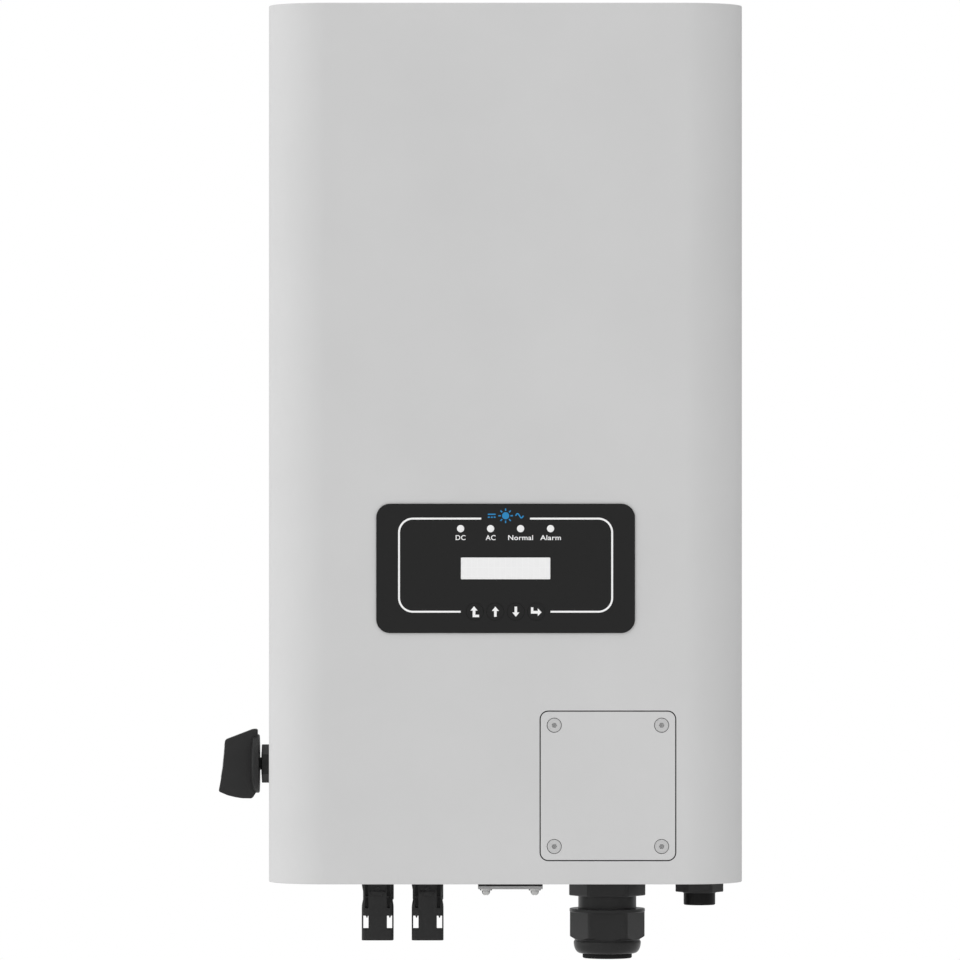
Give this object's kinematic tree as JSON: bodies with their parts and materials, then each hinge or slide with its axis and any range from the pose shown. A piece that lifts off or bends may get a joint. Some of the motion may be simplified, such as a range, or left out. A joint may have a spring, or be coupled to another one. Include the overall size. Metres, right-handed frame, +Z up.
{
  "type": "string inverter",
  "caption": "Wall-hung solar string inverter: upright rounded cabinet with display label, side rotary switch, rear heat sink and plug connections below.",
  "frame": {"origin": "middle of the hanger plate's wall face, on the cabinet's upright middle line", "axes": "+Z up; +Y from the cabinet to the wall, so the front faces -Y; +X to the right as seen from the front"},
  "size_m": [0.3278, 0.1911, 0.5961],
  "materials": {
    "cabinet_paint": "light grey powder coat on aluminium, fine texture, satin",
    "rubber_seal": "black EPDM rubber, matt",
    "heat_sink_aluminium": "extruded aluminium, clear anodised, satin",
    "zinc_steel": "zinc-plated steel, dull",
    "cover_steel": "grey painted steel, satin",
    "screw_steel": "stainless steel, satin",
    "display_film": "black polyester film with white print, fine matt",
    "clear_window": "clear acrylic over a pale liquid-crystal display",
    "lamp_plastic": "milky acrylic light pipes",
    "grey_plastic": "grey moulded polyamide",
    "black_polyamide": "black moulded polyamide, fine texture",
    "gland_polyamide": "black moulded polyamide, satin",
    "port_plastic": "black moulded plastic, satin",
    "circuit_board": "green glass-epoxy circuit board",
    "capacitor_sleeve": "dark capacitor sleeves",
    "copper_winding": "enamelled copper windings"
  },
  "bodies": {
    "cabinet": {"front_shell": "cabinet_paint", "top_plate": "cabinet_paint", "bottom_plate": "cabinet_paint", "terminal_cover": "cabinet_paint", "body_gasket": "rubber_seal", "heat_sink": "heat_sink_aluminium", "hanger_plate": "zinc_steel", "display_overlay": "display_film", "display_window": "clear_window", "display_module": "grey_plastic", "display_board": "circuit_board", "terminal_frame": "heat_sink_aluminium", "terminal_gasket": "rubber_seal", "terminal_block": "grey_plastic", "switch_body": "grey_plastic", "switch_nut": "black_polyamide", "comms_gasket": "rubber_seal", "comms_cover": "cover_steel", "comms_socket": "port_plastic", "gland_body": "gland_polyamide", "gland_locknut": "gland_polyamide", "gland_seal": "rubber_seal", "port_body": "port_plastic", "port_insert": "port_plastic", "port_locknut": "zinc_steel", "power_board": "circuit_board", "capacitor_bank": "capacitor_sleeve", "inductor_1": "copper_winding", "inductor_2": "copper_winding", "hanger_screw_1": "zinc_steel", "lamp_pipe_1": "lamp_plastic", "terminal_screw_1": "screw_steel", "comms_screw_1": "screw_steel", "hanger_screw_2": "zinc_steel", "lamp_pipe_2": "lamp_plastic", "terminal_screw_2": "screw_steel", "comms_screw_2": "screw_steel", "hanger_screw_3": "zinc_steel", "lamp_pipe_3": "lamp_plastic", "terminal_screw_3": "screw_steel", "comms_screw_3": "screw_steel", "hanger_screw_4": "zinc_steel", "lamp_pipe_4": "lamp_plastic", "terminal_screw_4": "screw_steel", "comms_screw_4": "screw_steel", "dc_connector_plus_1": "black_polyamide", "dc_locknut_plus_1": "black_polyamide", "dc_connector_plus_2": "black_polyamide", "dc_locknut_plus_2": "black_polyamide", "dc_connector_minus_1": "black_polyamide", "dc_locknut_minus_1": "black_polyamide", "dc_connector_minus_2": "black_polyamide", "dc_locknut_minus_2": "black_polyamide"},
    "dc_switch": {"switch_shaft": "black_polyamide", "switch_knob": "black_polyamide"},
    "key_back": {"key_back": "display_film"},
    "key_up": {"key_up": "display_film"},
    "key_down": {"key_down": "display_film"},
    "key_enter": {"key_enter": "display_film"},
    "gland_nut": {"gland_nut": "gland_polyamide"}
  },
  "joints": [
    {"name": "dc_switch_turn", "type": "hinge", "parent": "cabinet", "child": "dc_switch", "pos_m": [-0.1475, -0.10855, -0.2011], "axis": [1, 0, 0], "range_deg": [0, 90]},
    {"name": "gland_nut_turn", "type": "hinge", "parent": "cabinet", "child": "gland_nut", "pos_m": [0.0642, -0.1125, -0.306], "axis": [0, 0, 1], "range_deg": [0, 360]},
    {"name": "key_back_press", "type": "slide", "parent": "cabinet", "child": "key_back", "axis": [0, 1, 0], "range_m": [0, 0.0005], "stiffness_N_per_m": 600},
    {"name": "key_up_press", "type": "slide", "parent": "cabinet", "child": "key_up", "axis": [0, 1, 0], "range_m": [0, 0.0005], "stiffness_N_per_m": 600},
    {"name": "key_down_press", "type": "slide", "parent": "cabinet", "child": "key_down", "axis": [0, 1, 0], "range_m": [0, 0.0005], "stiffness_N_per_m": 600},
    {"name": "key_enter_press", "type": "slide", "parent": "cabinet", "child": "key_enter", "axis": [0, 1, 0], "range_m": [0, 0.0005], "stiffness_N_per_m": 600}
  ]
}
